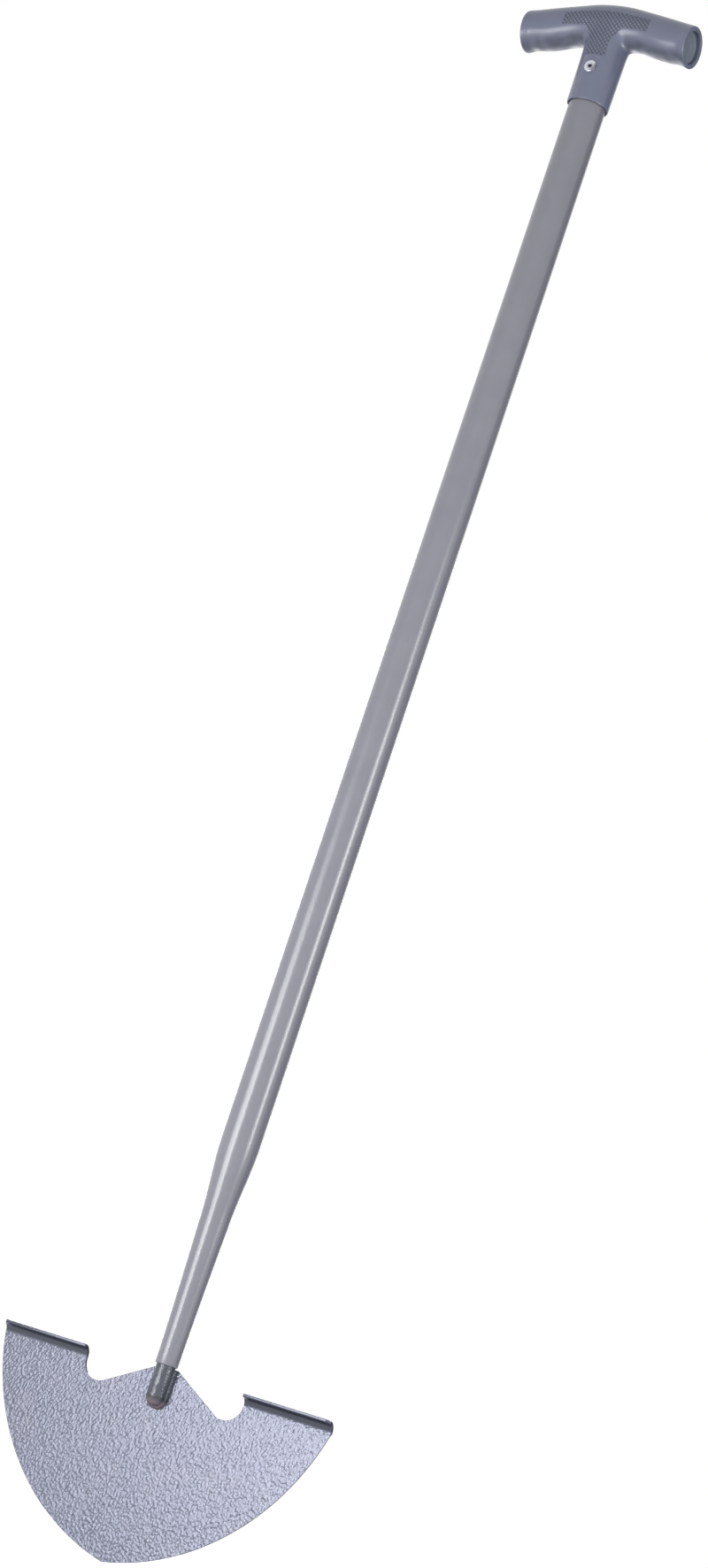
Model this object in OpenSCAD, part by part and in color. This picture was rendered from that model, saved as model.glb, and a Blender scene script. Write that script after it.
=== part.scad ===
// Half moon edger: a pressed steel blade welded to a tang, a swaged tube shaft and a moulded T grip.
// Z runs up the shaft's axis from the blade's point, X to the right, and the front faces -Y.

/* [Blade] */
// Radius of each of the two arcs that make the cutting edge
edge_r = 146; // [135:1:160]
// Distance from the middle line to the centre of the other side's arc
edge_past = 27.5; // [15:0.5:35]
// Thickness of the steel sheet
sheet_t = 2; // [1.5:0.1:2.5]
// Width of the ground bevel at the back of the cutting edge
bevel_w = 3; // [1:0.5:5]
// Thickness left at the cutting edge
edge_land = 0.8; // [0.4:0.1:1.2]
// Angle by which the blade leans forward of the shaft, in degrees
blade_lean = 1.9; // [0:0.1:4]
// Distance of the blade's front face behind the shaft's axis, at the shaft's foot
face_back = 3.8; // [3:0.1:4.5]
// Radius of the notch between the middle peak and each tread
notch_r = 11; // [8:0.5:13]
// Width of the flat top of the middle peak
peak_w = 14; // [12:0.5:20]

/* [Treads] */
// Height of the treads above the blade's point
tread_z = 116.5; // [110:0.5:122]
// Length of each tread
tread_len = 57; // [50:1:62]
// Inner radius of the bend from the sheet to the tread
bend_r = 5; // [3:0.1:7]
// Flat strip of the tread in front of its bend
tread_lip = 0.8; // [0.5:0.1:4]
// Distance by which the tread stops short of the blade's edge and of the notch
tread_inset = 1.2; // [0.5:0.1:4]
// Radius of the tread's outer front corner
tread_corner = 3; // [1:0.1:5]

/* [Tang] */
// Diameter of the tang's round bar
tang_d = 11.8; // [11:0.1:12.4]
// Length of the tang below the shaft, down to its nose
tang_drop = 24.8; // [20:0.2:35]
// Length of the tang inside the shaft
tang_in = 45; // [30:1:60]
// Chamfer at the tang's upper end
tang_chamfer = 1; // [0.5:0.1:2]
// Width of the weld bead beside the tang
weld_w = 2.6; // [1.5:0.1:4]
// Height of the weld bead on the blade
weld_h = 3.2; // [2:0.1:3.6]

/* [Shaft] */
// Outer diameter of the straight tube
shaft_d = 24; // [21:0.5:28]
// Wall thickness of the straight tube
shaft_wall = 1.2; // [1:0.1:2]
// Height of the shaft's lower end above the blade's point
foot_z = 118.5; // [114:0.5:126]
// Length of the shaft from its lower end to its top in the grip
shaft_len = 870; // [600:5:1100]
// Wall thickness of the lower end
foot_wall = 1; // [0.8:0.1:1.6]
// Rounding of the lower end's outer edge
foot_round = 0.7; // [0.3:0.1:0.7]
// Outer diameter where the shoulder begins
waist_d = 17.9; // [16.5:0.1:19]
// Length of the long taper, from the lower end to the shoulder
taper_len = 86.5; // [75:0.5:120]
// Length of the S-shaped shoulder
shoulder_len = 52; // [30:1:80]

/* [Grip] */
// Depth of the socket that the shaft stands in
socket_depth = 39.5; // [36:0.5:42]
// Wall of the socket at its rim
rim_wall = 1.6; // [1.2:0.1:2.4]
// Wall of the socket below the arms
neck_wall = 2.1; // [1.8:0.1:3.2]
// Chamfer inside the socket's rim
mouth_chamfer = 0.6; // [0.3:0.1:0.9]
// Height of the grip from the socket's rim to its top
grip_h = 71.6; // [68:0.2:76]
// Width of the grip from end to end
grip_w = 117; // [105:0.5:130]
// Diameter of the arms' ends
end_d = 27.2; // [26:0.2:30]
// Angle by which the arms' ends face down, in degrees
end_tilt = 3; // [0:0.5:8]
// Fall of the arms' top line from the middle to the ends
arch_drop = 9.3; // [6:0.1:11]
// Height over which the neck flares into the arms
flare_h = 5.6; // [4:0.2:10]
// Distance by which each side of the neck flares
flare_w = 5.6; // [4:0.2:9]
// Distance by which the middle of the arms stands proud of the neck
hub_proud = 0.6; // [0.3:0.1:1.5]
// Rounding of the rims of the arms and the socket
rim_round = 0.8; // [0.4:0.1:1.2]

/* [End plugs] */
// Diameter of the plug's seat in the end of each arm
seat_d = 21; // [18:0.5:22]
// Depth of the plug's face below the end of the arm
plug_sunk = 2.4; // [1:0.1:4]
// Length of the plug
plug_len = 7; // [5:0.5:9]
// Wall of the plug
plug_wall = 1.8; // [1.2:0.1:3]
// Diameter of the hollow in each arm behind its plug
core_d = 16; // [12:0.5:17]

/* [Rivet] */
// Height of the rivet above the socket's rim
rivet_z = 22.5; // [16:0.5:25]
// Diameter of the rivet's flange
flange_d = 8; // [7:0.1:9]
// Thickness of the rivet's flange at its middle
flange_t = 1.2; // [0.8:0.1:1.6]
// Diameter of the rivet's shank
shank_d = 4; // [3.6:0.1:4.8]
// Diameter of the head that is formed inside the tube
bulb_d = 6; // [5.4:0.1:6.6]
// Length of the head that is formed inside the tube
bulb_len = 4; // [3:0.1:6]
// Diameter of the mandrel's stem
stem_d = 2; // [1.6:0.1:2.4]
// Depth of the broken mandrel below the top of the flange
stem_sunk = 1.6; // [1:0.1:2.4]

/* [Hidden] */
$fn = 64;

// Gap between pieces that are pressed or slid together
fit_gap = 0.05;
// Gap between the blade's peak and the shaft's foot
peak_gap = 0.8;
// Depth by which the neck's flare runs into the arms
flare_sink = 0.9;
// Rounding of the rims of the plugs and the rivet's formed head
small_round = 0.8;
// Amount by which a cut runs past the face that it opens
overrun = 1;

// Colours
sheet_silver = "#b4b8c6";
tang_grey = "#6e717a";
weld_grey = "#7d7a7e";
shaft_grey = "#8b8b92";
grip_grey = "#71778a";
plug_grey = "#7d8794";
rivet_silver = "#d9dce2";
steel = "#8f9297";

// Blade outline, in the blade's own plane
edge_z = sqrt(edge_r * edge_r - edge_past * edge_past);
bend_z = tread_z - bend_r - sheet_t;
peak_z = foot_z / cos(blade_lean) - peak_gap;
function edge_x(z) = sqrt(edge_r * edge_r - (edge_z - z) * (edge_z - z)) - edge_past;
tread_in = edge_x(bend_z) - tread_inset - tread_len;
tread_reach = bend_r + tread_lip;
notch_out = tread_in - tread_inset;
notch_x = notch_out - notch_r;

// Tang and weld
tang_r = tang_d / 2;
nose_z = foot_z - tang_drop + tang_r;
seat_half = sqrt(tang_r * tang_r - face_back * face_back);

// Shaft
shaft_r = shaft_d / 2;
bore_r = tang_r + fit_gap;
foot_r = bore_r + foot_wall;
waist_z = foot_z + taper_len;
shoulder_z = waist_z + shoulder_len;
shaft_top = foot_z + shaft_len;
// Power that bows the long taper
taper_bow = 1.5;

// Grip, with heights taken from the socket's rim
rim_z = shaft_top - socket_depth;
socket_r = shaft_r + fit_gap;
rim_r = socket_r + rim_wall;
neck_r = socket_r + neck_wall;
half_w = grip_w / 2;
end_z = grip_h - arch_drop - end_d / 2;
// Height and depth of an arm along its length, as shares of its length and of its end's diameter
hub_share = 2 * (neck_r + hub_proud) / end_d;
arm_height_shares = [[0, 1.05], [0.4, 0.97], [0.66, 1.02], [0.9, 0.965], [1, 1]];
arm_depth_shares = [[0, hub_share], [0.4, 0.95], [0.66, 0.98], [0.9, 0.95], [1, 1]];
// Sharpness of the arch in the arms' top line
arch_bend = 3.4;
flare_share = (neck_r + flare_w) / half_w;
flare_z = arm_top(flare_share) - arm_height(flare_share) + flare_sink - flare_h;

// End plugs and rivet
seat_depth = plug_sunk + plug_len;
rivet_pad = neck_r_at(rivet_z) - flange_t / 2;
// Depth below the flange at which the formed head bears on the inside of the tube
bulb_at = rivet_pad - sqrt(pow(shaft_r - shaft_wall, 2) - pow(bulb_d / 2, 2)) + fit_gap;

// Blade

// Puts the blade's own plane, front face at zero and point at zero height, against the tang
module blade_frame() {
    translate([0, face_back, foot_z])
        rotate([-blade_lean, 0, 0])
            translate([0, 0, -foot_z / cos(blade_lean)])
                children();
}

// Stands a flat outline up as a sheet, with its front face at zero
module stand(t) {
    translate([0, t, 0])
        rotate([90, 0, 0])
            linear_extrude(t)
                children();
}

// One disc of the edge arc's radius, ground to a bevel at the back of its rim
module edge_disc(side) {
    translate([-side * edge_past, 0, edge_z])
        rotate([-90, 0, 0])
            rotate_extrude($fn = 180)
                polygon([
                    [0, 0],
                    [edge_r, 0],
                    [edge_r, edge_land],
                    [edge_r - bevel_w, sheet_t],
                    [0, sheet_t]
                ]);
}

// The space above the slope of the peak and in the notch, on the right side
module notch_cut() {
    peak = [peak_w / 2, peak_z];
    centre = [notch_x, bend_z];
    reach = norm(centre - peak);
    inside = notch_r - fit_gap;
    aim = atan2(centre.y - peak.y, centre.x - peak.x) - asin(inside / reach);
    run = sqrt(reach * reach - inside * inside);
    top = max(peak_z, bend_z) + overrun;
    translate(centre)
        circle(notch_r);
    polygon([
        peak,
        [peak.x, top],
        [notch_out, top],
        [notch_out, bend_z],
        centre,
        peak + run * [cos(aim), sin(aim)]
    ]);
}

module top_outline() {
    difference() {
        translate([-edge_r, 0])
            square([2 * edge_r, max(peak_z, bend_z)]);
        translate([-peak_w / 2, peak_z])
            square([peak_w, edge_r]);
        for (side = [0, 1])
            mirror([side, 0]) {
                notch_cut();
                translate([notch_out, bend_z])
                    square(edge_r);
            }
    }
}

// Section of the turned tread, with the sheet's front face at zero and the bend line at zero height
module tread_section() {
    outer = bend_r + sheet_t;
    intersection() {
        translate([-bend_r, 0])
            difference() {
                circle(outer);
                circle(bend_r);
            }
        translate([-bend_r, 0])
            square(outer);
    }
    translate([-bend_r - tread_lip, bend_r])
        square([tread_lip, sheet_t]);
    translate([0, -overrun])
        square([sheet_t, overrun]);
}

// Plan of the right tread, with its outer front corner rounded
module tread_plan() {
    out = tread_len - tread_corner;
    front = tread_reach - tread_corner;
    translate([0, -front])
        square([tread_len, front + sheet_t]);
    translate([0, -tread_reach])
        square([out, tread_reach]);
    translate([out, -front])
        circle(tread_corner);
}

module right_tread() {
    translate([tread_in, 0, bend_z])
        intersection() {
            rotate([90, 0, 90])
                linear_extrude(tread_len)
                    tread_section();
            translate([0, 0, -overrun])
                linear_extrude(tread_z - bend_z + overrun)
                    tread_plan();
        }
}

module blade() {
    color(sheet_silver)
        blade_frame() {
            intersection() {
                edge_disc(-1);
                edge_disc(1);
                stand(sheet_t)
                    top_outline();
            }
            for (side = [0, 1])
                mirror([side, 0, 0])
                    right_tread();
        }
}

// Tang

// The round bar with its ball nose
module tang_bar() {
    translate([0, 0, nose_z]) {
        sphere(tang_r);
        cylinder(r = tang_r, h = tang_drop - tang_r + tang_in - tang_chamfer);
    }
    translate([0, 0, foot_z + tang_in - tang_chamfer])
        cylinder(r1 = tang_r, r2 = tang_r - tang_chamfer, h = tang_chamfer);
}

module tang() {
    color(tang_grey)
        difference() {
            tang_bar();
            blade_frame()
                translate([-tang_d, 0, 0])
                    cube([2 * tang_d, tang_d, peak_z + peak_gap / 2]);
        }
}

// Section of the bead: distance from the tang's middle and height above the blade's front face
module bead_section() {
    toe = seat_half + weld_w;
    steps = 8;
    polygon([
        [0, 0],
        for (i = [0 : steps]) [
            toe - weld_w / 2 * (1 - cos(90 * i / steps)),
            weld_h * sin(90 * i / steps)
        ],
        [0, weld_h]
    ]);
}

module tang_weld() {
    nose = nose_z / cos(blade_lean);
    run = peak_z - nose - peak_gap;
    color(weld_grey)
        difference() {
            blade_frame()
                translate([0, 0, nose]) {
                    for (side = [0, 1])
                        mirror([side, 0, 0])
                            rotate([0, 0, 180])
                                mirror([1, 0, 0])
                                    linear_extrude(run)
                                        bead_section();
                    rotate([90, 0, 0])
                        rotate_extrude(angle = -180)
                            bead_section();
                }
            tang_bar();
        }
}

// Shaft

function ease(t) = t * t * (3 - 2 * t);
function shaft_r_at(z) =
    z <= waist_z
        ? foot_r + (waist_d / 2 - foot_r) * pow((z - foot_z) / taper_len, taper_bow)
        : waist_d / 2 + (shaft_r - waist_d / 2) * ease(min(1, (z - waist_z) / shoulder_len));

module shaft_tube() {
    steps = 12;
    taper = [for (i = [1 : steps]) foot_z + taper_len * i / steps];
    shoulder = [for (i = [1 : steps]) waist_z + shoulder_len * i / steps];
    outer = concat(taper, shoulder, [shaft_top]);
    rolled = [for (i = [0 : 3]) [
        foot_r - foot_round * (1 - sin(30 * i)),
        foot_z + foot_round * (1 - cos(30 * i))
    ]];
    bore_top = foot_z + tang_in + tang_d;
    inner = [for (i = [len(outer) - 1 : -1 : 0]) if (outer[i] > bore_top) outer[i]];
    color(shaft_grey)
        difference() {
            rotate_extrude()
                polygon(concat(
                    rolled,
                    [for (z = outer) [shaft_r_at(z), z]],
                    [for (z = inner) [shaft_r_at(z) - shaft_wall, z]],
                    [[bore_r, foot_z + tang_in], [bore_r, foot_z]]
                ));
            rivet_hole();
        }
}

// Grip

// Smooth curve through a table of places and values
function span(table, u, i = 0) =
    i >= len(table) - 2 || u <= table[i + 1][0] ? i : span(table, u, i + 1);
function slope(table, i) =
    let (a = table[max(i - 1, 0)], b = table[min(i + 1, len(table) - 1)])
    i == 0 ? 0 : (b[1] - a[1]) / (b[0] - a[0]);
function curve(table, u) =
    let (
        i = span(table, u),
        w = table[i + 1][0] - table[i][0],
        t = (u - table[i][0]) / w,
        rise = table[i + 1][1] - table[i][1],
        a = slope(table, i) * w - rise,
        b = rise - slope(table, i + 1) * w
    )
    table[i][1] + t * rise + t * (1 - t) * (a * (1 - t) + b * t);

function arch(u) = (sqrt(pow(arch_bend * u, 2) + 1) - 1) / (sqrt(pow(arch_bend, 2) + 1) - 1);
function arm_top(u) = grip_h - arch_drop * arch(u);
function arm_height(u) = end_d * curve(arm_height_shares, u);
function arm_mid(u) = arm_top(u) - arm_height(u) / 2;
function arm_depth(u) = end_d * curve(arm_depth_shares, u);
function neck_r_at(z) = rim_r + (neck_r - rim_r) * min(1, z / flare_z);
function flare(z) =
    let (t = max(0, min(1, (z - flare_z) / flare_h)))
    flare_w * (1 - sqrt(1 - t * t));

ring_points = 40;

// Skins a row of closed rings of the same number of points
module loft(rings) {
    n = len(rings[0]);
    last = len(rings) - 1;
    polyhedron(
        points = [for (ring = rings) each ring],
        faces = concat(
            [[for (k = [0 : n - 1]) k]],
            [[for (k = [n - 1 : -1 : 0]) last * n + k]],
            [for (i = [0 : last - 1], k = [0 : n - 1])
                let (a = i * n + k, b = i * n + (k + 1) % n)
                [a, a + n, b + n, b]]
        )
    );
}

// A ring of the arms, turned with the end's tilt as it nears the end
function arm_ring(x, inset) =
    let (u = abs(x) / half_w, tilt = end_tilt * u * u)
    [for (k = [0 : ring_points - 1])
        let (a = 360 * k / ring_points, up = (arm_height(u) / 2 - inset) * sin(a))
        [
            x + sign(x) * up * sin(tilt),
            (arm_depth(u) / 2 - inset) * cos(a),
            arm_mid(u) + up * cos(tilt)
        ]];

module arms() {
    steps = 24;
    straight = half_w - rim_round;
    side = [for (i = [1 : steps]) straight * i / steps];
    rings = concat(
        [arm_ring(-half_w, rim_round)],
        [for (i = [steps - 1 : -1 : 0]) arm_ring(-side[i], 0)],
        [arm_ring(0, 0)],
        [for (x = side) arm_ring(x, 0)],
        [arm_ring(half_w, rim_round)]
    );
    loft(rings);
}

function neck_ring(z, inset) =
    [for (k = [0 : ring_points - 1])
        let (a = 360 * k / ring_points)
        [(neck_r_at(z) + flare(z) - inset) * cos(a), (neck_r_at(z) - inset) * sin(a), z]];

module neck() {
    steps = 12;
    inside = flare_z + flare_h + (arm_mid(0) - flare_z - flare_h) / 2;
    rings = concat(
        [neck_ring(0, rim_round), neck_ring(rim_round, 0), neck_ring(flare_z, 0)],
        [for (i = [1 : steps]) neck_ring(flare_z + flare_h * sin(90 * i / steps), 0)],
        [neck_ring(inside, rim_round)]
    );
    loft(rings);
}

// The bottom of the plug's seat in the right arm, with the seat's axis turned to Z
module seat_frame() {
    translate([half_w, 0, end_z])
        rotate([0, end_tilt + 90, 0])
            translate([0, 0, -seat_depth])
                children();
}

// The plug's seat in the right arm and the sloping hollow behind it
module arm_hollow() {
    seat = [half_w - seat_depth * cos(end_tilt), end_z + seat_depth * sin(end_tilt)];
    stop_x = shaft_r + core_d / 2;
    run = seat - [stop_x, arm_mid(stop_x / half_w)];
    seat_frame()
        cylinder(d = seat_d, h = seat_depth + overrun);
    translate([seat.x, 0, seat.y])
        rotate([0, -90 - atan2(run.y, run.x), 0])
            cylinder(d = core_d, h = norm(run));
}

module grip_body() {
    color(grip_grey)
        difference() {
            translate([0, 0, rim_z])
                difference() {
                    union() {
                        arms();
                        neck();
                    }
                    translate([0, 0, -overrun])
                        cylinder(r = socket_r, h = socket_depth + fit_gap + overrun);
                    cylinder(r1 = socket_r + mouth_chamfer, r2 = socket_r, h = mouth_chamfer);
                    for (side = [0, 1])
                        mirror([side, 0, 0])
                            arm_hollow();
                }
            rivet_hole();
            rivet_frame()
                cylinder(d = flange_d + 2 * fit_gap, h = flange_t + overrun);
        }
}

// End plugs

module end_plug() {
    plug_r = seat_d / 2 - fit_gap;
    translate([0, 0, rim_z])
        seat_frame()
            difference() {
                union() {
                    cylinder(r = plug_r, h = plug_len - small_round);
                    translate([0, 0, plug_len - small_round])
                        cylinder(r1 = plug_r, r2 = plug_r - small_round, h = small_round);
                }
                translate([0, 0, -overrun])
                    cylinder(r = plug_r - plug_wall, h = plug_len - plug_wall + overrun);
            }
}

module end_plug_left() {
    color(plug_grey)
        mirror([1, 0, 0])
            end_plug();
}

module end_plug_right() {
    color(plug_grey)
        end_plug();
}

// Rivet

// Turns the rivet's axis to the front, with its flange's underside at zero
module rivet_frame() {
    translate([0, -rivet_pad, rim_z + rivet_z])
        rotate([90, 0, 0])
            children();
}

module rivet_hole() {
    rivet_frame()
        translate([0, 0, -bulb_at])
            cylinder(d = shank_d + 2 * fit_gap, h = bulb_at + flange_t);
}

module rivet_body() {
    color(rivet_silver)
        rivet_frame()
            difference() {
                rotate_extrude()
                    polygon([
                        [0, -bulb_at - bulb_len],
                        [bulb_d / 2 - small_round, -bulb_at - bulb_len],
                        [bulb_d / 2, -bulb_at - bulb_len + small_round],
                        [bulb_d / 2, -bulb_at],
                        [shank_d / 2, -bulb_at],
                        [shank_d / 2, 0],
                        [flange_d / 2, 0],
                        for (i = [0 : 6]) [
                            flange_d / 2 * cos(15 * i),
                            flange_t / 2 * (1 + sin(15 * i))
                        ]
                    ]);
                translate([0, 0, -bulb_at - bulb_len - overrun])
                    cylinder(d = stem_d + 2 * fit_gap, h = bulb_at + bulb_len + flange_t + 2 * overrun);
            }
}

module rivet_mandrel() {
    color(steel)
        rivet_frame()
            translate([0, 0, -bulb_at - bulb_len]) {
                cylinder(d = stem_d, h = bulb_at + bulb_len + flange_t - stem_sunk);
                translate([0, 0, -stem_d])
                    cylinder(d1 = stem_d, d2 = shank_d, h = stem_d);
            }
}

blade();
tang();
tang_weld();
shaft_tube();
grip_body();
end_plug_left();
end_plug_right();
rivet_body();
rivet_mandrel();
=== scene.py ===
import math

import bmesh
import bpy
from mathutils import Matrix, Quaternion, Vector, noise


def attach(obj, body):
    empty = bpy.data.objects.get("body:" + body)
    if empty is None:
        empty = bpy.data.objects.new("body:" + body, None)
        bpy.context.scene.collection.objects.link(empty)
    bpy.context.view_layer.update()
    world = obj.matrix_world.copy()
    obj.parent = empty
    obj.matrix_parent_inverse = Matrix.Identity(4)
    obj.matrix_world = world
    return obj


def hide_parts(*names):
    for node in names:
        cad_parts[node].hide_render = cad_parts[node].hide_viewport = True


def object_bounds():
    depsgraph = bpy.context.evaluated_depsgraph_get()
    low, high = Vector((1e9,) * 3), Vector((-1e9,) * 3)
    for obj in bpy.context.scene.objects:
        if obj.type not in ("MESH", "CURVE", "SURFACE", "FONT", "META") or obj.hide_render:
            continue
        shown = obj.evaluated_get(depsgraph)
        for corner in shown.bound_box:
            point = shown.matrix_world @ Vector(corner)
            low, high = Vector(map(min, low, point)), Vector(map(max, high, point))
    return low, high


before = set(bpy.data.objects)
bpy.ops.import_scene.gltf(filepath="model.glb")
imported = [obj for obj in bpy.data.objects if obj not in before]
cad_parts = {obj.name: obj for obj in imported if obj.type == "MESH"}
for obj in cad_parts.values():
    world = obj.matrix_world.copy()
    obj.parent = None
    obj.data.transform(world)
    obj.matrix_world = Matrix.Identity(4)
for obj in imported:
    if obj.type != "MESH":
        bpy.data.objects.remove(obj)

cad_low, cad_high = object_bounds()

# Blade: one steel sheet, blanked to a half moon with a notch on each side of the middle peak.
# Both shoulders are pressed forward into treads for the foot, the curved edge is ground from
# behind, and the whole sheet is stove enamelled in a hammered silver.
mm = 0.001


def linear(code):
    """An sRGB hex colour as the linear values that a shader takes."""
    parts = [int(code[i:i + 2], 16) / 255 for i in (1, 3, 5)]
    return [c / 12.92 if c <= 0.04045 else ((c + 0.055) / 1.055) ** 2.4 for c in parts] + [1]


def new_finish(name):
    """A material that has no nodes yet."""
    finish = bpy.data.materials.new(name)
    finish.use_nodes = True
    finish.node_tree.nodes.clear()
    return finish


def add(owner, kind, settings={}, inputs={}):
    """Adds one shader node; an input is a value or another node's output."""
    node = owner.node_tree.nodes.new("ShaderNode" + kind)
    for name, value in settings.items():
        setattr(node, name, value)
    for name, value in inputs.items():
        if isinstance(value, bpy.types.NodeSocket):
            owner.node_tree.links.new(value, node.inputs[name])
        else:
            node.inputs[name].default_value = value
    return node


# Hammered stoving enamel: aluminium flake in a grey lacquer that draws into small slanting dimples,
# so that each dimple has its own light and dark side, with clouds of a warmer grey over the sheet.
# In the hollow under each tread a painted shade makes the coat darker and partly metallic, and its dimples
# shallower.
hammered = new_finish("hammered_silver_enamel")
dimple_w, dimple_deep, dimple_long, dimple_slant = 1.26 * mm, 0.22 * mm, 1.4, math.radians(26)
ripple_w, drift_w, drift_by, cloud_w = 1.3 * mm, 2.9 * mm, 0.7 * mm, 24 * mm
place = add(hammered, "TexCoord").outputs["Object"]
wander = add(hammered, "TexNoise", inputs={"Vector": place, "Scale": 1 / drift_w, "Detail": 1.0})
centred = add(hammered, "VectorMath", {"operation": "SUBTRACT"},
              {0: wander.outputs["Color"], 1: (0.5, 0.5, 0.5)})
drifted = add(hammered, "VectorMath", {"operation": "MULTIPLY_ADD"},
              {0: centred.outputs[0], 1: (drift_by, drift_by, drift_by), 2: place})
slanted = add(hammered, "Mapping", {"vector_type": "TEXTURE"}, {
    "Vector": drifted.outputs[0], "Rotation": (0, dimple_slant, 0), "Scale": (1, 1, dimple_long),
})
dimple = add(hammered, "TexVoronoi", {"feature": "SMOOTH_F1"}, {
    "Vector": slanted.outputs[0], "Scale": 1 / dimple_w, "Smoothness": 0.7, "Randomness": 0.8,
})
ripple = add(hammered, "TexNoise", inputs={
    "Vector": slanted.outputs[0], "Scale": 1 / ripple_w, "Detail": 0.5,
})
bowl = add(hammered, "Math", {"operation": "POWER"}, {0: dimple.outputs["Distance"], 1: 2.0})
relief = add(hammered, "Math", {"operation": "MULTIPLY_ADD"},
             {0: ripple.outputs["Fac"], 1: 0.9, 2: bowl.outputs[0]})
flake = add(hammered, "MapRange", inputs={
    "Value": dimple.outputs["Distance"], "From Min": 0.12, "From Max": 0.55,
})
# The colours of a Mix node are its inputs 6 and 7 and its output 2
tone = add(hammered, "Mix", {"data_type": "RGBA"},
           {0: flake.outputs[0], 6: linear("#777b8a"), 7: linear("#5a5d6b")})
cloud = add(hammered, "TexNoise", inputs={"Vector": place, "Scale": 1 / cloud_w, "Detail": 3.0})
warm = add(hammered, "MapRange", inputs={
    "Value": cloud.outputs["Fac"], "From Min": 0.5, "From Max": 0.8, "To Max": 0.45,
})
tone = add(hammered, "Mix", {"data_type": "RGBA"},
           {0: warm.outputs[0], 6: tone.outputs[2], 7: linear("#7d747a")})
# Painted shade under the treads: a darker, partly metallic base and shallower dimples
tread_shade_mask = add(hammered, "Attribute", {"attribute_name": "hollow"})
tone = add(hammered, "Mix", {"data_type": "RGBA"},
           {0: tread_shade_mask.outputs["Fac"], 6: tone.outputs[2], 7: linear("#474952")})
shade_metallic = add(hammered, "Math", {"operation": "MULTIPLY"}, {0: tread_shade_mask.outputs["Fac"], 1: 0.6})
coat = add(hammered, "MapRange", inputs={
    "Value": tread_shade_mask.outputs["Fac"], "To Min": 1.0, "To Max": 0.25,
})
press = add(hammered, "Bump", inputs={
    "Height": relief.outputs[0], "Distance": dimple_deep, "Strength": coat.outputs[0],
})
shader = add(hammered, "BsdfPrincipled", inputs={
    "Base Color": tone.outputs[2], "Metallic": shade_metallic.outputs[0], "Roughness": 0.19, "IOR": 1.8,
    "Specular Tint": linear("#e5e8ff"), "Normal": press.outputs[0],
})
add(hammered, "OutputMaterial", inputs={"Surface": shader.outputs[0]})

merge_gap = 0.004 * mm


def cad_copy(node):
    """A copy of a CAD node's mesh with its loose triangles merged into flat faces."""
    shape = bmesh.new()
    shape.from_mesh(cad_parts[node].data)
    bmesh.ops.remove_doubles(shape, verts=shape.verts, dist=merge_gap)
    bmesh.ops.dissolve_limit(shape, angle_limit=math.radians(0.5), verts=shape.verts, edges=shape.edges)
    return shape


def grow(shape, row, put):
    """Extrudes an open row of edges and puts each new corner where it is told."""
    made = bmesh.ops.extrude_edge_only(shape, edges=row)["geom"]
    fresh = {g for g in made if isinstance(g, bmesh.types.BMVert)}
    for corner in fresh:
        corner.co = put(corner.co)
    return [g for g in made if isinstance(g, bmesh.types.BMEdge) and fresh.issuperset(g.verts)]


def round_edges(shape, edges, radius, segments):
    """Rounds some edges of a sheet."""
    bmesh.ops.bevel(
        shape, geom=edges, offset=radius, offset_type="OFFSET", affect="EDGES",
        segments=segments, profile=0.5, material=-1, clamp_overlap=True,
    )


def finish_piece(name, shape, finish, node, angle=35):
    """Makes a finished bmesh the piece that stands for a CAD node; broad flat faces stay flat."""
    broad = 50 * mm * mm
    data = bpy.data.meshes.new(name)
    shape.to_mesh(data)
    shape.free()
    data.set_sharp_from_angle(angle=math.radians(angle))
    for face in data.polygons:
        face.use_smooth = face.area < broad or len(face.vertices) < 5
    data.materials.append(finish)
    made = bpy.data.objects.new(name, data)
    bpy.context.scene.collection.objects.link(made)
    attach(made, "root")
    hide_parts(node)


# The sheet is worked flat, with its front face at zero, and leant back at the end. Each tread is
# turned forward again from a cut below its bend, so that its ends run out into the sheet's own edges.
sheet_t, bend_z, bend_r, lip = 2.0 * mm, 109.5 * mm, 5.0 * mm, 0.8 * mm
lean_angle, lean_y, lean_z = math.radians(1.9), 3.8 * mm, 118.5 * mm
peak_half, tread_in, tread_out, tread_corner = 40 * mm, 55.1 * mm, 114.4 * mm, 3 * mm
edge_roll, edge_ease, hollow_fade = 0.76 * mm, 0.25 * mm, 1.8 * mm
leant = Matrix.Translation((0, lean_y, lean_z)) @ Matrix.Rotation(-lean_angle, 4, "X")
leant = leant @ Matrix.Translation((0, 0, -lean_z / math.cos(lean_angle)))
sheet = cad_copy("blade")
bmesh.ops.transform(sheet, matrix=leant.inverted(), verts=sheet.verts)
cut_z = bend_z - 2 * mm
bmesh.ops.bisect_plane(sheet, geom=sheet.verts[:] + sheet.edges[:] + sheet.faces[:], dist=0.001 * mm,
                       plane_co=(0, 0, cut_z), plane_no=(0, 0, 1))
cut_off = [v for v in sheet.verts if v.co.z > cut_z + 0.01 * mm and abs(v.co.x) > peak_half]
bmesh.ops.delete(sheet, geom=cut_off, context="VERTS")


def bend_corner(co):
    """Where a corner of the cut goes at the foot of the bend: front or back, inner or outer end."""
    end = tread_out if abs(co.x) > (tread_in + tread_out) / 2 else tread_in
    return Vector((math.copysign(end, co.x), 0 if co.y < 0.3 * mm else sheet_t, bend_z))


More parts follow.
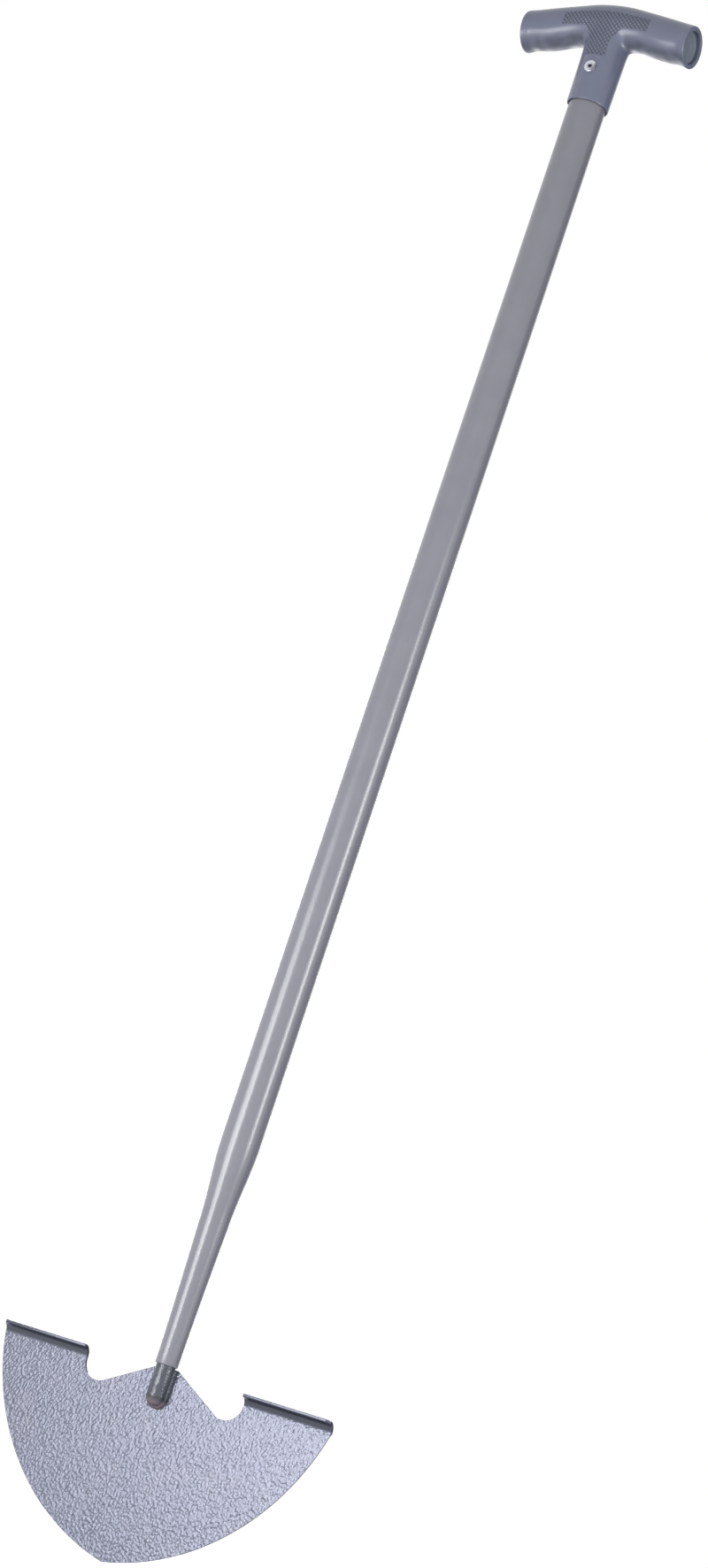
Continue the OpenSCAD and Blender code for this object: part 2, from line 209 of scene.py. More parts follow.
grow(sheet, [e for e in sheet.edges if e.is_boundary], bend_corner)
bmesh.ops.remove_doubles(sheet, verts=sheet.verts, dist=merge_gap)
foot_of_bend = [v for v in sheet.verts if v.is_boundary] + [e for e in sheet.edges if e.is_boundary]
bent = bmesh.ops.spin(sheet, geom=foot_of_bend, cent=(0, -bend_r, bend_z), axis=(1, 0, 0),
                      dvec=(0, 0, 0), angle=math.pi / 2, steps=9)["geom_last"]
grow(sheet, [g for g in bent if isinstance(g, bmesh.types.BMEdge)], lambda co: co - Vector((0, lip, 0)))
bmesh.ops.holes_fill(sheet, edges=[e for e in sheet.edges if e.is_boundary], sides=0)
bmesh.ops.recalc_face_normals(sheet, faces=sheet.faces)
# The outer front corner of each tread is rounded off, and its front edge is rolled half round
for corner in sheet.verts:
    front = max(0, corner.co.y + bend_r + lip)
    if abs(corner.co.x) > tread_out - tread_corner and front < tread_corner and corner.co.z > bend_z:
        short = tread_corner - math.sqrt(tread_corner ** 2 - (tread_corner - front) ** 2)
        corner.co.x -= math.copysign(short, corner.co.x)
foremost = [e for e in sheet.edges if max(v.co.y for v in e.verts) < 0.01 * mm - bend_r - lip]
round_edges(sheet, foremost, edge_roll, 6)
sharp = [e for e in sheet.edges if e.is_manifold and e.calc_face_angle() > math.radians(50)]
round_edges(sheet, sharp, edge_ease, 2)
# Painted shade: corners in the hollow under each tread, fading in just above the foot of the bend
hollow = sheet.verts.layers.float.new("hollow")
for corner in sheet.verts:
    rise, back = corner.co.z - bend_z, max(0, corner.co.y + bend_r)
    if rise > 0 and math.hypot(rise, back) < bend_r + 0.75 * sheet_t and abs(corner.co.x) > peak_half:
        corner[hollow] = min(1, rise / hollow_fade)
bmesh.ops.transform(sheet, matrix=leant, verts=sheet.verts)
finish_piece("blade_sheet", sheet, hammered, "blade", angle=18)

# Tang: a round steel bar with a ball nose and a flat on its back, laid against the middle of the
# blade and welded there. Its upper end is driven into the foot of the shaft, and it is enamelled
# in a darker and smoother coat than the blade.
nose_low, nose_high, dark_band_z, dark_band_half = 96 * mm, 98.5 * mm, 99 * mm, 1.6 * mm

# Dark gloss enamel: a lumpy gloss that breaks the light into small streaks, drawn black in a ring just
# above the nose and in a warmer grey on the nose.
tang_enamel = new_finish("tang_dark_enamel")
peel_w, cloud_w = 1.6 * mm, 7 * mm
place = add(tang_enamel, "TexCoord").outputs["Object"]
peel = add(tang_enamel, "TexNoise", inputs={"Vector": place, "Scale": 1 / peel_w, "Detail": 2.0})
cloud = add(tang_enamel, "TexNoise", inputs={"Vector": place, "Scale": 1 / cloud_w, "Detail": 2.0})
tone = add(tang_enamel, "Mix", {"data_type": "RGBA"},
           {0: cloud.outputs["Fac"], 6: linear("#3b404b"), 7: linear("#535864")})
along = add(tang_enamel, "SeparateXYZ", inputs={"Vector": place})
nose = add(tang_enamel, "MapRange", inputs={
    "Value": along.outputs["Z"], "From Min": nose_high, "From Max": nose_low, "To Max": 0.85,
})
tone = add(tang_enamel, "Mix", {"data_type": "RGBA"},
           {0: nose.outputs[0], 6: tone.outputs[2], 7: linear("#776a71")})
above_dark_band = add(tang_enamel, "Math", {"operation": "SUBTRACT"}, {0: along.outputs["Z"], 1: dark_band_z})
off_dark_band = add(tang_enamel, "Math", {"operation": "ABSOLUTE"}, {0: above_dark_band.outputs[0]})
dark_band = add(tang_enamel, "MapRange", inputs={
    "Value": off_dark_band.outputs[0], "From Max": dark_band_half, "To Min": 0.8, "To Max": 0.0,
})
tone = add(tang_enamel, "Mix", {"data_type": "RGBA"},
           {0: dark_band.outputs[0], 6: tone.outputs[2], 7: linear("#26282d")})
press = add(tang_enamel, "Bump", inputs={
    "Height": peel.outputs["Fac"], "Distance": 0.3 * mm, "Strength": 1.0,
})
shader = add(tang_enamel, "BsdfPrincipled", inputs={
    "Base Color": tone.outputs[2], "Roughness": 0.22, "IOR": 1.6, "Normal": press.outputs[0],
})
add(tang_enamel, "OutputMaterial", inputs={"Surface": shader.outputs[0]})
finish_piece("tang_bar", cad_copy("tang"), tang_enamel, "tang")

# Weld: one bead of steel that runs down both sides of the tang and round its nose, laid in short
# steps that leave ripples across it, and painted over with the tang.
longest_edge, ripple_pitch, ripple_lift, lump_lift = 0.9 * mm, 1.7 * mm, 0.1, 0.12
bead = cad_copy("tang_weld")
bmesh.ops.triangulate(bead, faces=bead.faces)
for _ in range(6):
    long_edges = [e for e in bead.edges if e.calc_length() > longest_edge]
    if not long_edges:
        break
    bmesh.ops.subdivide_edges(bead, edges=long_edges, cuts=1)
    bmesh.ops.triangulate(bead, faces=bead.faces)
bmesh.ops.dissolve_degenerate(bead, dist=0.01 * mm, edges=bead.edges)
bead.normal_update()
for corner in bead.verts:
    step = corner.co.z / ripple_pitch + 0.5 * noise.noise(corner.co / (3 * mm))
    lump = noise.noise(corner.co / (1.1 * mm))
    lift = ripple_lift * math.cos(2 * math.pi * step) + lump_lift * lump
    corner.co += corner.normal * lift * mm
finish_piece("weld_bead", bead, tang_enamel, "tang_weld", angle=50)

# Shaft: one drawn steel tube, swaged down to a narrow foot that grips the tang, with a rolled
# edge at the foot. It is powder coated in a satin grey.
foot_z, foot_r, foot_roll, bore_r, tang_top = 118.5, 6.95, 0.7, 5.95, 163.5
waist_z, waist_r, shoulder_z, shaft_r = 205.0, 8.95, 257.0, 12.0
straight_z, shaft_top, wall, hollow_z = 300.0, 988.5, 1.2, 180
rows = 14


def lathe(section, steps, place, closed=False):
    """Turns a section, radius and height in mm, into a round shape and puts it in its place."""
    shape = bmesh.new()
    corners = [shape.verts.new((radius, 0, height)) for radius, height in section]
    following = corners[1:] + corners[:1] if closed else corners[1:]
    edges = [shape.edges.new(pair) for pair in zip(corners, following)]
    bmesh.ops.spin(shape, geom=corners + edges, cent=(0, 0, 0), axis=(0, 0, 1), dvec=(0, 0, 0),
                   angle=2 * math.pi, steps=steps, use_merge=True)
    bmesh.ops.remove_doubles(shape, verts=shape.verts, dist=0.002)
    bmesh.ops.transform(shape, matrix=place, verts=shape.verts)
    bmesh.ops.recalc_face_normals(shape, faces=shape.faces)
    return shape


# The rolled foot, the long taper and the S-shaped shoulder, then up the tube and down its inside
outline = []
for roll in (0, 0.39, 0.79, 1.18, 1.57):
    outline.append((foot_r - foot_roll * (1 - math.sin(roll)), foot_z + foot_roll * (1 - math.cos(roll))))
for part in [row / rows for row in range(1, rows + 1)]:
    outline.append((foot_r + (waist_r - foot_r) * part ** 1.5, foot_z + (waist_z - foot_z) * part))
for part in [row / rows for row in range(1, rows + 1)]:
    outline.append((waist_r + (shaft_r - waist_r) * part * part * (3 - 2 * part),
                    waist_z + (shoulder_z - waist_z) * part))
inside = [(r - wall, z) for r, z in reversed(outline) if z > hollow_z]
outline += [(shaft_r, straight_z), (shaft_r, shaft_top), (shaft_r - wall, shaft_top)] + inside
outline += [(bore_r, tang_top), (bore_r, foot_z)]
tube = lathe(outline, 112, Matrix.Scale(mm, 4), closed=True)

# Satin powder coat: fine orange peel under a soft gloss, with a faint cloudiness along the tube.
powder = new_finish("satin_grey_powder_coat")
peel_w, cloud_w = 0.9 * mm, 16 * mm
place = add(powder, "TexCoord").outputs["Object"]
peel = add(powder, "TexNoise", inputs={"Vector": place, "Scale": 1 / peel_w, "Detail": 2.0})
cloud = add(powder, "TexNoise", inputs={"Vector": place, "Scale": 1 / cloud_w, "Detail": 3.0})
tone = add(powder, "Mix", {"data_type": "RGBA"},
           {0: cloud.outputs["Fac"], 6: linear("#7f808b"), 7: linear("#8b8b96")})
press = add(powder, "Bump", inputs={
    "Height": peel.outputs["Fac"], "Distance": 0.05 * mm, "Strength": 1.0,
})
shader = add(powder, "BsdfPrincipled", inputs={
    "Base Color": tone.outputs[2], "Roughness": 0.24, "IOR": 1.65, "Normal": press.outputs[0],
})
add(powder, "OutputMaterial", inputs={"Surface": shader.outputs[0]})
finish_piece("shaft", tube, powder, "shaft_tube")

# Grip: one moulding of blue-grey polypropylene, an arched bar for the hand on a hollow neck that
# slips over the shaft. The ends flare to a lip round each plug, and a diamond knurl is moulded
# into the front and the back of the hub.
rim_z = 949.0
half_w, end_z, end_tilt = 58.5, 48.7, math.radians(3)
seat_r, seat_depth = 10.5, 9.4
neck_r, neck_top, socket_r, socket_depth = 14.15, 35, 12.05, 39.5
ring_x, ring_bulge, ring_z, ring_up, ring_deep = 9.5, 2.5, 57.2, 13.9, 14.15
middle_z, middle_up, middle_deep, armpit_z = 57.3, 14.3, 14.75, 51.9

# One half is drawn as a coarse cage of rings with sixteen corners, in mm from the rim of the neck,
# which is mirrored and then subdivided. The first ring bends round the neck: below, its corners
# follow the line where the neck meets the arm.
crotch = {1: (5.7, -13.5, 51.0), 2: (10.6, -10.3, 46.9), 3: (14.2, -5.6, 43.6), 4: (15.4, 0, 42.4)}
crotch_top = crotch[1][2]
swell = 1.026  # a ring of sixteen corners shrinks by this much when it is subdivided


def sixteenth(turn):
    """The nearest of the sixteen directions in which a ring has its corners."""
    return math.radians(22.5) * round(math.degrees(turn) / 22.5)


def arm_corner(co, x, ring, last):
    """Where a corner of the last ring goes on the next ring, which leans with the arm's end."""
    turn = sixteenth(math.atan2((co.z - last[0]) / last[1], -co.y / last[2]))
    rise = ring[1] * math.sin(turn)
    lean = math.tan(end_tilt) * (x / half_w) ** 2
    return Vector((x + lean * rise, -ring[2] * math.cos(turn), ring[0] + rise))


def hub_corner(co):
    """Where a corner of the first ring goes on the middle plane; the two lowest meet the neck."""
    if abs(co.z - crotch_top) < 1:
        return Vector((0, math.copysign(middle_deep * swell, co.y), armpit_z))
    return Vector((0, co.y * middle_deep / ring_deep, middle_z + (co.z - ring_z) * middle_up / ring_up))


def neck_corner(co, radius, z):
    """Where a corner goes on a round row of the neck."""
    turn = sixteenth(math.atan2(co.x, -co.y))
    return Vector((radius * swell * math.sin(turn), -radius * swell * math.cos(turn), z))


cage = bmesh.new()
bmesh.ops.create_circle(cage, segments=16, radius=1, matrix=Matrix.Rotation(math.radians(90), 4, "Y"))
first_ring = list(cage.edges)
for corner in cage.verts:
    turn = math.degrees(math.atan2(corner.co.z, -corner.co.y))
    step = round(abs(turn) / 22.5)
    if turn < -1 and step < 8:
        x, y, z = crotch[min(step, 8 - step)]
        corner.co = (x, y if step <= 4 else -y, z)
    else:
        out = ring_x + ring_bulge * math.sin(math.radians(max(turn, 0)))
        corner.co = (out, corner.co.y * ring_deep * swell, ring_z + corner.co.z * ring_up * swell)
# Place, middle height, half height and half depth of the arm's rings, out to its lip and in again
rim, last = first_ring, (ring_z, ring_up * swell, ring_deep * swell)
for x, middle, up, deep in [
    (20.5, 56.3, 13.28, 13.1), (28.5, 54.85, 13.35, 12.95), (37.0, 52.75, 13.88, 13.32),
    (45.0, 51.45, 13.58, 13.12), (50.5, 50.72, 13.18, 12.9), (53.2, 50.25, 13.1, 12.92),
    (54.6, 49.85, 13.3, 13.18), (57.2, 49.1, 13.5, 13.48), (58.1, 48.82, 13.5, 13.5),
    (half_w, end_z, 13.0, 13.0), (half_w, end_z, 11.2, 11.2), (58.3, 48.71, 10.55, 10.55),
    (56.5, 48.8, seat_r, seat_r), (half_w - seat_depth, 49.2, seat_r, seat_r),
]:
    ring = (middle, up * swell, deep * swell)
    rim = grow(cage, rim, lambda co: arm_corner(co, x, ring, last))
    last = ring
bmesh.ops.edgeloop_fill(cage, edges=rim)
# The top of the hub, from the first ring to the middle plane
grow(cage, [e for e in first_ring if min(v.co.z for v in e.verts) > crotch_top - 0.5], hub_corner)
# The neck, from the bent line down to its rim and up the socket inside
row = [e for e in cage.edges if e.is_boundary and max(v.co.x for v in e.verts) > 0.01]
row = grow(cage, row, lambda co: neck_corner(co, neck_r + 0.1, co.z + 0.45 * (neck_top - co.z)))
for radius, z in [
    (14.08, 33), (13.92, 22), (13.78, 10), (13.67, 2.4), (13.65, 0.9), (13.35, 0.05), (12.8, 0),
    (12.25, 0.35), (socket_r, 1.2), (socket_r, 20), (socket_r, socket_depth),
]:
    row = grow(cage, row, lambda co: neck_corner(co, radius, z))
bmesh.ops.mirror(cage, geom=cage.verts[:] + cage.edges[:] + cage.faces[:], axis="X", merge_dist=0.01)
bmesh.ops.remove_doubles(cage, verts=cage.verts, dist=0.01)
bmesh.ops.edgeloop_fill(cage, edges=[e for e in cage.edges if e.is_boundary])
bmesh.ops.transform(cage, matrix=Matrix.Scale(mm, 4) @ Matrix.Translation((0, 0, rim_z)), verts=cage.verts)
bmesh.ops.recalc_face_normals(cage, faces=cage.faces)

cage_data = bpy.data.meshes.new("grip_cage")
cage.to_mesh(cage_data)
cage.free()
cage_piece = bpy.data.objects.new("grip_cage", cage_data)
bpy.context.scene.collection.objects.link(cage_piece)
rounding = cage_piece.modifiers.new("rounding", "SUBSURF")
rounding.levels = rounding.render_levels = 3
skin = bpy.data.meshes.new_from_object(cage_piece.evaluated_get(bpy.context.evaluated_depsgraph_get()))
bpy.data.objects.remove(cage_piece)
grip = bmesh.new()
grip.from_mesh(skin)
shade = grip.verts.layers.float.new("painted_shade")

# The knurl: V grooves at 45 degrees both ways, in a band along the arms and a tongue down the
# neck, on the front and the back. Seen from the front, those that fall to the left are shallower.
pitch, groove_w, groove_deep, shallower = 2.05, 0.66, 0.55, 0.75
band_half, band_z, band_down, band_up, band_droop = 30.3, 57.3, 5.2, 5.0, 0.003
narrows_x, narrows_by, widens_z, widens_by = 12, 0.07, 40, 0.045
tongue_half, tongue_x, tongue_low, tongue_high = 7.6, -0.8, 30.8, 60
ragged_w, ragged_by, knurl_side = 2.4, 0.5, 8 * mm


def knurl_edge(co):
    """How far a place on the hub lies inside the knurled patch, whose edge is ragged, in mm."""
    x, z = co.x / mm, co.z / mm - rim_z
    rise = z - band_z + band_droop * x * x
    band_foot = rise + band_down - narrows_by * max(0, abs(x) - narrows_x)
    band = min(band_half - abs(x), band_foot, band_up - rise)
    tongue_side = tongue_half + widens_by * max(0, z - widens_z) ** 2 - abs(x - tongue_x)
    tongue = min(tongue_side, z - tongue_low, tongue_high - z)
    return max(band, tongue) + ragged_by * noise.noise((x / ragged_w, co.y / mm, z / ragged_w))


patch = {f for f in grip.faces if abs(f.normal.y) > 0.3 and abs(f.calc_center_median().y) > knurl_side
         and knurl_edge(f.calc_center_median()) > -1.0}
finer = [e for e in grip.edges if not patch.isdisjoint(e.link_faces)]
bmesh.ops.subdivide_edges(grip, edges=finer, cuts=3, use_grid_fill=True)
bmesh.ops.triangulate(grip, faces=[f for f in grip.faces if len(f.verts) > 4])
grip.normal_update()
moves = []
for corner in grip.verts:
    inset = knurl_edge(corner.co)
    if inset > 0 and abs(corner.normal.y) > 0.25 and abs(corner.co.y) > knurl_side:
        x, z = corner.co.x / mm, corner.co.z / mm - rim_z
        falling, rising = (abs((line / pitch) % 1 - 0.5) * pitch
                           for line in ((x + z) * math.sqrt(0.5), (x - z) * math.sqrt(0.5)))
        deep = max(1 - falling / groove_w, shallower * (1 - rising / groove_w), 0)
        moves.append((corner, deep * min(1, inset / 0.5)))
# Each corner in the knurl sinks into its groove, with painted shade as deep as the groove
for corner, depth in moves:
    corner.co -= corner.normal * depth * groove_deep * mm
    corner[shade] = depth
# Painted shade also lies in the gap under the neck's rim, and in patches under the arms, the more the skin
# faces down
rim_shade_top, rim_shade_r, arm_start, underside_shade_w = rim_z + 1.5, 13.3 * mm, 14 * mm, 5 * mm
for corner in grip.verts:
    if corner.co.z < rim_shade_top * mm and math.hypot(corner.co.x, corner.co.y) < rim_shade_r:
        corner[shade] = 1
    elif corner.normal.z < -0.5 and abs(corner.co.x) > arm_start:
        patchy = 0.62 + 0.3 * noise.noise(corner.co / underside_shade_w)
        corner[shade] = max(corner[shade], min(1, -3 * corner.normal.z - 1.5) * patchy)

# Moulded polypropylene: a satin skin with a fine spark-eroded grain, which is drawn coarser than the real
# one so that it shows. Painted shade in the knurl's grooves, under the neck's rim and under the arms makes
# it darker, and the skin is rougher there.
moulded = new_finish("moulded_blue_grey_polypropylene")
grain_w, cloud_w = 0.45 * mm, 14 * mm
place = add(moulded, "TexCoord").outputs["Object"]
grain = add(moulded, "TexNoise", inputs={"Vector": place, "Scale": 1 / grain_w, "Detail": 2.0})
cloud = add(moulded, "TexNoise", inputs={"Vector": place, "Scale": 1 / cloud_w, "Detail": 2.0})
tone = add(moulded, "Mix", {"data_type": "RGBA"},
           {0: cloud.outputs["Fac"], 6: linear("#72778e"), 7: linear("#7d8298")})
painted_shade = add(moulded, "Attribute", {"attribute_name": "painted_shade"})
shade_amount = add(moulded, "Math", {"operation": "MULTIPLY"}, {0: painted_shade.outputs["Fac"], 1: 0.8})
dull = add(moulded, "MapRange", inputs={
    "Value": painted_shade.outputs["Fac"], "To Min": 0.25, "To Max": 0.7,
})
tone = add(moulded, "Mix", {"data_type": "RGBA"},
           {0: shade_amount.outputs[0], 6: tone.outputs[2], 7: linear("#33363f")})
press = add(moulded, "Bump", inputs={
    "Height": grain.outputs["Fac"], "Distance": 0.03 * mm, "Strength": 1.0,
})
shader = add(moulded, "BsdfPrincipled", inputs={
    "Base Color": tone.outputs[2], "Roughness": dull.outputs[0], "IOR": 1.52, "Normal": press.outputs[0],
})
add(moulded, "OutputMaterial", inputs={"Surface": shader.outputs[0]})
finish_piece("grip", grip, moulded, "grip_body", angle=60)

# End plugs: two round caps of softer grey polyethylene, pressed into the open ends of the grip
# until they sit a little below the lip. Each has a shallow moulded ring and a gate mark in the middle.

# Moulded polyethylene: waxy and nearly matt, with soft clouds of a paler grey. Its grain is drawn
# coarser than the real one so that it shows.
plug_plastic = new_finish("grey_polyethylene_plug")
grain_w, cloud_w = 0.6 * mm, 6 * mm
place = add(plug_plastic, "TexCoord").outputs["Object"]
grain = add(plug_plastic, "TexNoise", inputs={"Vector": place, "Scale": 1 / grain_w, "Detail": 2.0})
cloud = add(plug_plastic, "TexNoise", inputs={"Vector": place, "Scale": 1 / cloud_w, "Detail": 2.0})
tone = add(plug_plastic, "Mix", {"data_type": "RGBA"},
           {0: cloud.outputs["Fac"], 6: linear("#757d8b"), 7: linear("#828a97")})
press = add(plug_plastic, "Bump", inputs={
    "Height": grain.outputs["Fac"], "Distance": 0.03 * mm, "Strength": 1.0,
})
shader = add(plug_plastic, "BsdfPrincipled", inputs={
    "Base Color": tone.outputs[2], "Roughness": 0.45, "IOR": 1.5, "Normal": press.outputs[0],
})
add(plug_plastic, "OutputMaterial", inputs={"Surface": shader.outputs[0]})

# From the middle of the face over the ring and the rounded rim to the hollow behind
plug_section = [
    (0, 6.75), (0.9, 6.75), (1.2, 6.95), (6.6, 7.0), (6.95, 6.7), (7.5, 6.7), (7.85, 7.0),
    (9.65, 7.0), (10.2, 6.75), (10.45, 6.2), (10.45, 0), (8.65, 0), (8.65, 5.2), (0, 5.2),
]
seat = Matrix.Translation((half_w, 0, rim_z + end_z)) @ Matrix.Rotation(math.pi / 2 + end_tilt, 4, "Y")
seat = seat @ Matrix.Translation((0, 0, -seat_depth))
for side, name, node in ((1, "plug_right", "end_plug_right"), (-1, "plug_left", "end_plug_left")):
    plug = lathe(plug_section, 72, Matrix.Diagonal((side * mm, mm, mm, 1)) @ seat)
    finish_piece(name, plug, plug_plastic, node)

# Rivet: a blind rivet through the neck and the tube. Its aluminium body has a low domed flange
# in front, and a head behind that was formed inside the tube when the mandrel was pulled.
rivet_z, rivet_pad, fit_gap = 22.5, 13.343, 0.05
hole_r, shank_r, flange_r, flange_t, dome_in, dome_up = 1.05, 2.0, 4.0, 0.6, 1.4, 0.57
bulb_r, bulb_len = 3.0, 4.0
bulb_at = rivet_pad - math.sqrt((shaft_r - wall) ** 2 - bulb_r ** 2) + fit_gap
bulb_end = -bulb_at - bulb_len

# Bright aluminium: light metal with fine scuffs, with painted shade in a dull grey on its lower right
# side, and more painted shade in the dish and down the hole.
aluminium = new_finish("bright_aluminium_rivet")
scuff_w = 0.5 * mm
place = add(aluminium, "TexCoord").outputs["Object"]
scuffs = add(aluminium, "TexNoise", inputs={"Vector": place, "Scale": 1 / scuff_w, "Detail": 3.0})
tone = add(aluminium, "Mix", {"data_type": "RGBA"},
           {0: scuffs.outputs["Fac"], 6: linear("#bfc1cd"), 7: linear("#dadbe6")})
from_axis = add(aluminium, "Mapping", inputs={
    "Vector": place, "Location": (0, 0, -(rim_z + rivet_z) * mm), "Scale": (1, 0, 1),
})
spread = add(aluminium, "VectorMath", {"operation": "LENGTH"}, {0: from_axis.outputs[0]})
# Painted shade in the dish round the hole
dish_shade = add(aluminium, "MapRange", inputs={
    "Value": spread.outputs["Value"], "From Min": 2.4 * mm, "From Max": 1.4 * mm, "To Max": 0.6,
})
tone = add(aluminium, "Mix", {"data_type": "RGBA"},
           {0: dish_shade.outputs[0], 6: tone.outputs[2], 7: linear("#62656b")})
# Painted shade on the lower right side of the flange
sweep = add(aluminium, "VectorMath", {"operation": "DOT_PRODUCT"},
            {0: from_axis.outputs[0], 1: (0.9, 0, -0.44)})
shaded_side = add(aluminium, "MapRange", inputs={
    "Value": sweep.outputs["Value"], "From Min": 0.9 * mm, "From Max": 3.0 * mm, "To Max": 0.75,
})
tone = add(aluminium, "Mix", {"data_type": "RGBA"},
           {0: shaded_side.outputs[0], 6: tone.outputs[2], 7: linear("#5a5c63")})
# Painted shade, nearly black, down the hole
hole_shade = add(aluminium, "MapRange", inputs={
    "Value": spread.outputs["Value"], "From Min": 1.3 * mm, "From Max": 1.12 * mm,
})
tone = add(aluminium, "Mix", {"data_type": "RGBA"},
           {0: hole_shade.outputs[0], 6: tone.outputs[2], 7: linear("#101012")})
worn = add(aluminium, "MapRange", inputs={
    "Value": scuffs.outputs["Fac"], "To Min": 0.2, "To Max": 0.36,
})
shader = add(aluminium, "BsdfPrincipled", inputs={
    "Base Color": tone.outputs[2], "Metallic": 1.0, "Roughness": worn.outputs[0],
})
add(aluminium, "OutputMaterial", inputs={"Surface": shader.outputs[0]})

# The formed head, the shank, the dome of the flange, and down its dish into the hole
body_section = [(hole_r, bulb_end), (2.2, bulb_end), (2.75, bulb_end + 0.3), (bulb_r, bulb_end + 0.8)]
body_section += [(bulb_r, -bulb_at), (shank_r, -bulb_at), (shank_r, 0), (flange_r, 0)]
for turn in [1.57 * step / 8 for step in range(9)]:
    body_section.append((flange_r - dome_in * (1 - math.cos(turn)), flange_t + dome_up * math.sin(turn)))
body_section += [(2.3, 1.15), (1.35, 0.98), (1.1, 0.8), (hole_r, 0.5)]
rivet_place = Matrix.Scale(mm, 4) @ Matrix.Translation((0, -rivet_pad, rim_z + rivet_z))
rivet_place = rivet_place @ Matrix.Rotation(math.pi / 2, 4, "X")
body = lathe(body_section, 56, rivet_place, closed=True)
finish_piece("rivet_head", body, aluminium, "rivet_body")

# Mandrel: what is left of the rivet's steel stem. Its head drew the formed end of the body tight,
# and the stem then broke off just below the top of the flange.

# Zinc plated steel, broken off: a rough and dull stub with a few lighter grains, drawn nearly black as
# painted shade down the hole.
steel = new_finish("zinc_plated_steel_stem")
grain_w = 0.3 * mm
place = add(steel, "TexCoord").outputs["Object"]
grain = add(steel, "TexNoise", inputs={"Vector": place, "Scale": 1 / grain_w, "Detail": 3.0})
tone = add(steel, "Mix", {"data_type": "RGBA"},
           {0: grain.outputs["Fac"], 6: linear("#1f2022"), 7: linear("#3b3c40")})
press = add(steel, "Bump", inputs={
    "Height": grain.outputs["Fac"], "Distance": 0.06 * mm, "Strength": 1.0,
})
shader = add(steel, "BsdfPrincipled", inputs={
    "Base Color": tone.outputs[2], "Metallic": 1.0, "Roughness": 0.45, "Normal": press.outputs[0],
})
add(steel, "OutputMaterial", inputs={"Surface": shader.outputs[0]})
stem_r, head_len = 1.0, 2.0
stem_section = [
    (0, bulb_end - head_len), (1.8, bulb_end - head_len), (2.0, bulb_end - 1.9), (stem_r, bulb_end),
    (stem_r, 0.6), (0.85, 0.7), (0, 0.66),
]
stem = lathe(stem_section, 32, rivet_place)
finish_piece("rivet_stem", stem, steel, "rivet_mandrel")

# Studio: a pale floor in a white room, with four soft lamps: two low in front on the left, one on
# the right and one behind. A dark card stands behind on the right, and the camera is low down in
# front of the blade's right side.


def seen_straight(owner):
    """Is 1 for what the camera, gloss and glass see, and 0 for the light that falls on things."""
    path = add(owner, "LightPath")
    seen = add(owner, "Math", {"operation": "ADD", "use_clamp": True},
               {0: path.outputs["Is Camera Ray"], 1: path.outputs["Is Glossy Ray"]})
    seen = add(owner, "Math", {"operation": "ADD", "use_clamp": True},
               {0: seen.outputs[0], 1: path.outputs["Is Transmission Ray"]})
    return seen.outputs[0]


def stand(name, shape, finish):
    """Makes a finished bmesh a piece of the studio."""
    data = bpy.data.meshes.new(name)
    shape.to_mesh(data)
    shape.free()
    data.materials.append(finish)
    made = bpy.data.objects.new(name, data)
    bpy.context.scene.collection.objects.link(made)
    return made


# Matt white floor: as white as the room, so that nothing but the tool's own shadow shows on it.
floor_white = new_finish("matt_white_floor")
glow = add(floor_white, "Math", {"operation": "MULTIPLY"}, {0: seen_straight(floor_white), 1: 0.75})
shader = add(floor_white, "BsdfPrincipled", inputs={
    "Base Color": linear("#c6c6c6"), "Roughness": 0.9, "Emission Color": (1, 1, 1, 1),
    "Emission Strength": glow.outputs[0],
})
add(floor_white, "OutputMaterial", inputs={"Surface": shader.outputs[0]})
ground = bmesh.new()
bmesh.ops.create_grid(ground, x_segments=2, y_segments=2, size=60)
bmesh.ops.translate(ground, vec=(0, 0, cad_low.z), verts=ground.verts)
stand("floor", ground, floor_white)

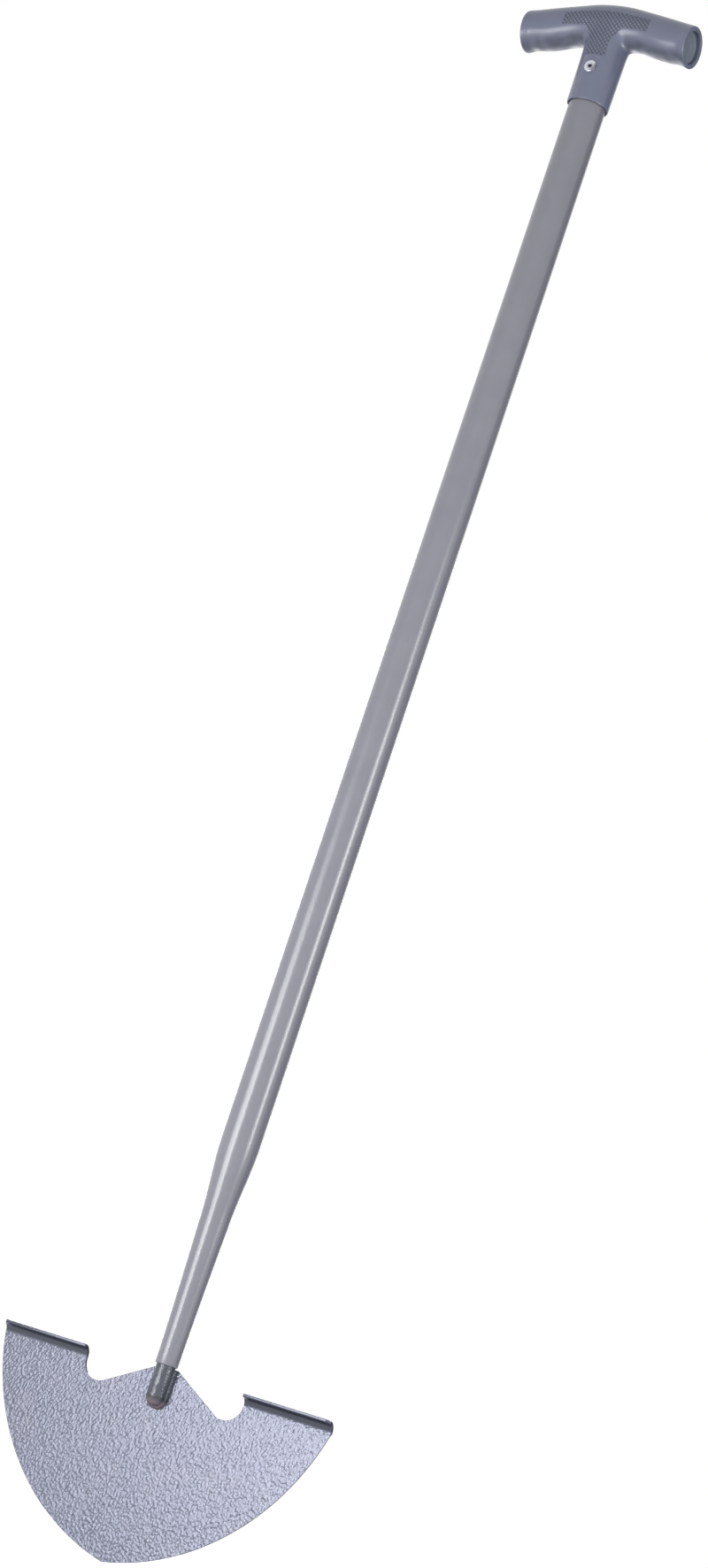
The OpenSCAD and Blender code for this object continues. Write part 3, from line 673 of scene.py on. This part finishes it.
# Matt dark card: only the gloss sees it, and it keeps the right edge of the tube dark.
card_grey = new_finish("matt_dark_card")
shader = add(card_grey, "BsdfPrincipled", inputs={"Base Color": linear("#2a2a2c"), "Roughness": 0.9})
add(card_grey, "OutputMaterial", inputs={"Surface": shader.outputs[0]})
card_at, card_faces, card_size = (0.75, 1.0, 1.3), (-0.75, -1.0, 0), (1.3, 2.6, 1)
board = bmesh.new()
bmesh.ops.create_grid(board, x_segments=1, y_segments=1, size=0.5)
bmesh.ops.scale(board, vec=card_size, verts=board.verts)
turned = Vector(card_faces).to_track_quat("Z", "Y").to_matrix().to_4x4()
bmesh.ops.transform(board, matrix=Matrix.Translation(card_at) @ turned, verts=board.verts)
card = stand("dark_card", board, card_grey)
card.visible_camera = card.visible_diffuse = card.visible_shadow = False

room_light = 0.45
world = bpy.data.worlds.new("white_room")
bpy.context.scene.world = world
world.use_nodes = True
world.node_tree.nodes.clear()
level = add(world, "MapRange", inputs={
    "Value": seen_straight(world), "To Min": room_light, "To Max": 1.0,
})
room = add(world, "Background", inputs={"Color": (1, 1, 1, 1), "Strength": level.outputs[0]})
add(world, "OutputWorld", inputs={"Surface": room.outputs[0]})

for name, spot, aim, size, watts in [
    ("key_lamp", (-0.32, -0.95, 0.30), (0, 0, 0.3), (0.55, 0.58), 6.1),
    ("fill_lamp", (-0.14, -0.93, 0.27), (0, 0, 0.27), (0.18, 0.44), 1.0),
    ("side_lamp", (0.98, -0.165, 0.55), (0, 0, 0.5), (0.22, 0.56), 4.2),
    ("back_lamp", (-0.68, 1.22, 0.6), (0, 0, 0.5), (0.6, 0.9), 8.0),
]:
    light = bpy.data.lights.new(name, "AREA")
    light.shape = "RECTANGLE"
    light.size, light.size_y = size
    light.energy = watts
    lamp = bpy.data.objects.new(name, light)
    lamp.location = spot
    lamp.rotation_euler = (Vector(aim) - Vector(spot)).to_track_quat("-Z", "Y").to_euler()
    lamp.visible_camera = False
    bpy.context.scene.collection.objects.link(lamp)

eye, look = Vector((1.0269, -1.8644, 0.0453)), Vector((-0.0035, -0.0019, 0.4854))
camera_roll = math.radians(18.52)
lens = bpy.data.cameras.new("camera")
lens.sensor_fit = "VERTICAL"
lens.sensor_height = 36
lens.lens = 81.98
camera = bpy.data.objects.new("camera", lens)
camera.location = eye
gaze = (look - eye).to_track_quat("-Z", "Y") @ Quaternion((0, 0, 1), camera_roll)
camera.rotation_euler = gaze.to_euler()
bpy.context.scene.collection.objects.link(camera)
bpy.context.scene.camera = camera
bpy.context.scene.view_settings.view_transform = "Standard"
